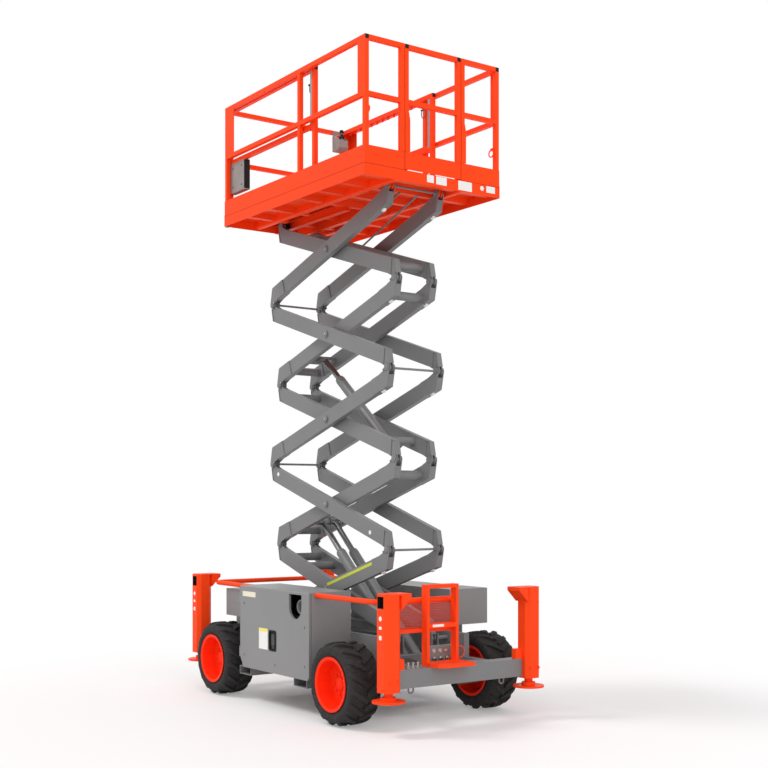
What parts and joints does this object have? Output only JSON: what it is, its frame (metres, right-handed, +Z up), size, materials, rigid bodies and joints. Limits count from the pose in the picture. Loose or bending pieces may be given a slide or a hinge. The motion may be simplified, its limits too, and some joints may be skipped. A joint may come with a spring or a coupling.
{
  "type": "rough-terrain scissor lift",
  "caption": "Rough-terrain scissor lift with outriggers, scissor stack partly raised, roll-out deck with guard rails, side cabinets and lugged tyres.",
  "frame": {"origin": "on the ground under the middle of the machine's bounding box", "axes": "+X towards the front, where the roll-out deck is; +Y to the machine's left; +Z up"},
  "size_m": [3.429, 1.756, 5.5762],
  "materials": {
    "orange_paint": "satin",
    "grey_paint": "satin",
    "cabinet_grey": "satin",
    "tyre": "matte",
    "dark_steel": "matte",
    "chrome_rod": "polished",
    "amber_lens": "gloss",
    "black_plastic": "matte",
    "red_mesh": "satin",
    "console_grey": "matte"
  },
  "bodies": {
    "base": {"chassis_frame": "grey_paint", "rear_beam": "grey_paint", "front_beam": "grey_paint", "outrigger_housings": "orange_paint", "rear_axle": "grey_paint", "front_axle": "grey_paint", "fork_pockets": "grey_paint", "cabinet_left": "cabinet_grey", "cabinet_right": "cabinet_grey", "engine_block": "grey_paint", "hydraulic_tank": "grey_paint", "front_box": "cabinet_grey", "rear_box": "cabinet_grey", "ladder": "orange_paint", "guard_tubes": "orange_paint", "mesh_guard": "red_mesh", "beacon": "amber_lens"},
    "arm_a1": {"arm_a1_outer": "grey_paint", "base_rollers": "dark_steel"},
    "arm_b1": {"arm_b1_inner": "grey_paint"},
    "arm_a2": {"arm_a2_inner": "grey_paint"},
    "arm_b2": {"arm_b2_outer": "grey_paint"},
    "arm_a3": {"arm_a3_outer": "grey_paint"},
    "arm_b3": {"arm_b3_inner": "grey_paint"},
    "arm_a4": {"arm_a4_inner": "grey_paint"},
    "arm_b4": {"arm_b4_outer": "grey_paint"},
    "arm_a5": {"arm_a5_outer": "grey_paint"},
    "arm_b5": {"arm_b5_inner": "grey_paint"},
    "slide_blocks": {"slide_blocks": "black_plastic"},
    "lower_barrel": {"lower_cylinder_barrel": "grey_paint"},
    "lower_rod": {"lower_cylinder_rod": "chrome_rod"},
    "upper_barrel": {"upper_cylinder_barrel": "grey_paint"},
    "upper_rod": {"upper_cylinder_rod": "chrome_rod"},
    "platform": {"platform_deck": "orange_paint", "deck_frame": "orange_paint", "rails_left": "orange_paint", "rails_right": "orange_paint", "rails_rear": "orange_paint"},
    "extension": {"extension_deck": "orange_paint", "extension_rails": "orange_paint", "extension_comb": "orange_paint", "console": "console_grey", "document_box": "console_grey"},
    "gate": {"gate": "orange_paint"},
    "door_left": {"door_left": "cabinet_grey"},
    "door_right": {"door_right": "cabinet_grey"},
    "knuckle_left": {"knuckle_left": "dark_steel"},
    "knuckle_right": {"knuckle_right": "dark_steel"},
    "wheel_rear_left": {"tyre_rear_left": "tyre", "rim_rear_left": "orange_paint"},
    "jack_rear_left": {"jack_rear_left": "orange_paint"},
    "wheel_rear_right": {"tyre_rear_right": "tyre", "rim_rear_right": "orange_paint"},
    "jack_rear_right": {"jack_rear_right": "orange_paint"},
    "wheel_front_left": {"tyre_front_left": "tyre", "rim_front_left": "orange_paint"},
    "jack_front_left": {"jack_front_left": "orange_paint"},
    "wheel_front_right": {"tyre_front_right": "tyre", "rim_front_right": "orange_paint"},
    "jack_front_right": {"jack_front_right": "orange_paint"}
  },
  "joints": [
    {"name": "lift", "type": "hinge", "parent": "base", "child": "arm_b1", "pos_m": [-0.946, 0, 0.647], "axis": [0, -1, 0], "range_deg": [-17.25, 34]},
    {"name": "fold_a2", "type": "hinge", "parent": "arm_b1", "child": "arm_a2", "pos_m": [0.95102, 0, 1.41345], "axis": [0, 1, 0], "range_deg": [-34.6, 68.1]},
    {"name": "fold_b3", "type": "hinge", "parent": "arm_a2", "child": "arm_b3", "pos_m": [-0.946, 0, 2.17989], "axis": [0, -1, 0], "range_deg": [-34.6, 68.1]},
    {"name": "fold_a4", "type": "hinge", "parent": "arm_b3", "child": "arm_a4", "pos_m": [0.95102, 0, 2.94634], "axis": [0, 1, 0], "range_deg": [-34.6, 68.1]},
    {"name": "fold_b5", "type": "hinge", "parent": "arm_a4", "child": "arm_b5", "pos_m": [-0.946, 0, 3.71278], "axis": [0, -1, 0], "range_deg": [-34.6, 68.1]},
    {"name": "cross_a1", "type": "hinge", "parent": "arm_b1", "child": "arm_a1", "pos_m": [0.00251, 0, 1.03022], "axis": [0, 1, 0], "range_deg": [-34.6, 68.1]},
    {"name": "cross_b2", "type": "hinge", "parent": "arm_a2", "child": "arm_b2", "pos_m": [0.00251, 0, 1.79667], "axis": [0, -1, 0], "range_deg": [-34.6, 68.1]},
    {"name": "cross_a3", "type": "hinge", "parent": "arm_b3", "child": "arm_a3", "pos_m": [0.00251, 0, 2.56311], "axis": [0, 1, 0], "range_deg": [-34.6, 68.1]},
    {"name": "cross_b4", "type": "hinge", "parent": "arm_a4", "child": "arm_b4", "pos_m": [0.00251, 0, 3.32956], "axis": [0, -1, 0], "range_deg": [-34.6, 68.1]},
    {"name": "cross_a5", "type": "hinge", "parent": "arm_b5", "child": "arm_a5", "pos_m": [0.00251, 0, 4.096], "axis": [0, 1, 0], "range_deg": [-34.6, 68.1]},
    {"name": "slide_block_level", "type": "hinge", "parent": "arm_b5", "child": "slide_blocks", "pos_m": [0.95102, 0, 4.47923], "axis": [0, 1, 0], "range_deg": [-17.3, 34.05]},
    {"name": "platform_level", "type": "hinge", "parent": "arm_a5", "child": "platform", "pos_m": [-0.946, 0, 4.47923], "axis": [0, -1, 0], "range_deg": [-17.3, 34.05]},
    {"name": "lower_cylinder_tilt", "type": "hinge", "parent": "base", "child": "lower_barrel", "pos_m": [-0.95, 0, 0.45], "axis": [0, -1, 0], "range_deg": [-17.3, 34.05]},
    {"name": "lower_rod_slide", "type": "slide", "parent": "lower_barrel", "child": "lower_rod", "axis": [0.753, 0, 0.658], "range_m": [-0.34, 0.67]},
    {"name": "upper_cylinder_tilt", "type": "hinge", "parent": "arm_b3", "child": "upper_barrel", "pos_m": [-0.61821, 0, 2.28611], "axis": [0, -1, 0], "range_deg": [-1.8, 3.5]},
    {"name": "upper_rod_slide", "type": "slide", "parent": "upper_barrel", "child": "upper_rod", "axis": [0.779, 0, 0.6271], "range_m": [-0.26, 0.515]},
    {"name": "deck_roll_out", "type": "slide", "parent": "platform", "child": "extension", "axis": [1, 0, 0], "range_m": [0, 0.9]},
    {"name": "gate_swing", "type": "hinge", "parent": "platform", "child": "gate", "pos_m": [-1.18, 0.307, 5.05], "axis": [0, 0, 1], "range_deg": [0, 90]},
    {"name": "door_left_swing", "type": "hinge", "parent": "base", "child": "door_left", "pos_m": [0.633, 0.812, 0.69], "axis": [0, 0, -1], "range_deg": [0, 90]},
    {"name": "door_right_swing", "type": "hinge", "parent": "base", "child": "door_right", "pos_m": [0.633, -0.812, 0.69], "axis": [0, 0, 1], "range_deg": [0, 90]},
    {"name": "steer_left", "type": "hinge", "parent": "base", "child": "knuckle_left", "pos_m": [1.078, 0.68, 0.34159], "axis": [0, 0, 1], "range_deg": [-32, 32]},
    {"name": "steer_right", "type": "hinge", "parent": "base", "child": "knuckle_right", "pos_m": [1.078, -0.68, 0.34159], "axis": [0, 0, 1], "range_deg": [-32, 32]},
    {"name": "wheel_front_left_spin", "type": "hinge", "parent": "knuckle_left", "child": "wheel_front_left", "pos_m": [1.078, 0.726, 0.34159], "axis": [0, 1, 0], "continuous": true},
    {"name": "wheel_rear_left_spin", "type": "hinge", "parent": "base", "child": "wheel_rear_left", "pos_m": [-0.977, 0.726, 0.34159], "axis": [0, 1, 0], "continuous": true},
    {"name": "wheel_front_right_spin", "type": "hinge", "parent": "knuckle_right", "child": "wheel_front_right", "pos_m": [1.078, -0.726, 0.34159], "axis": [0, 1, 0], "continuous": true},
    {"name": "wheel_rear_right_spin", "type": "hinge", "parent": "base", "child": "wheel_rear_right", "pos_m": [-0.977, -0.726, 0.34159], "axis": [0, 1, 0], "continuous": true},
    {"name": "jack_rear_left_drop", "type": "slide", "parent": "base", "child": "jack_rear_left", "axis": [0, 0, -1], "range_m": [0, 0.42]},
    {"name": "jack_rear_right_drop", "type": "slide", "parent": "base", "child": "jack_rear_right", "axis": [0, 0, -1], "range_m": [0, 0.42]},
    {"name": "jack_front_left_drop", "type": "slide", "parent": "base", "child": "jack_front_left", "axis": [0, 0, -1], "range_m": [0, 0.42]},
    {"name": "jack_front_right_drop", "type": "slide", "parent": "base", "child": "jack_front_right", "axis": [0, 0, -1], "range_m": [0, 0.42]}
  ],
  "couplings": [
    {"joint": "fold_a2", "follows": "lift", "ratio": 2},
    {"joint": "fold_b3", "follows": "lift", "ratio": 2},
    {"joint": "fold_a4", "follows": "lift", "ratio": 2},
    {"joint": "fold_b5", "follows": "lift", "ratio": 2},
    {"joint": "cross_a1", "follows": "lift", "ratio": 2},
    {"joint": "cross_b2", "follows": "lift", "ratio": 2},
    {"joint": "cross_a3", "follows": "lift", "ratio": 2},
    {"joint": "cross_b4", "follows": "lift", "ratio": 2},
    {"joint": "cross_a5", "follows": "lift", "ratio": 2},
    {"joint": "slide_block_level", "follows": "lift", "ratio": 1},
    {"joint": "platform_level", "follows": "lift", "ratio": 1},
    {"joint": "lower_cylinder_tilt", "follows": "lift", "ratio": 1},
    {"joint": "lower_rod_slide", "follows": "lift", "m_per_rad": 1.12},
    {"joint": "upper_cylinder_tilt", "follows": "lift", "ratio": 0.1},
    {"joint": "upper_rod_slide", "follows": "lift", "m_per_rad": 0.86},
    {"joint": "steer_right", "follows": "steer_left", "ratio": 1}
  ]
}
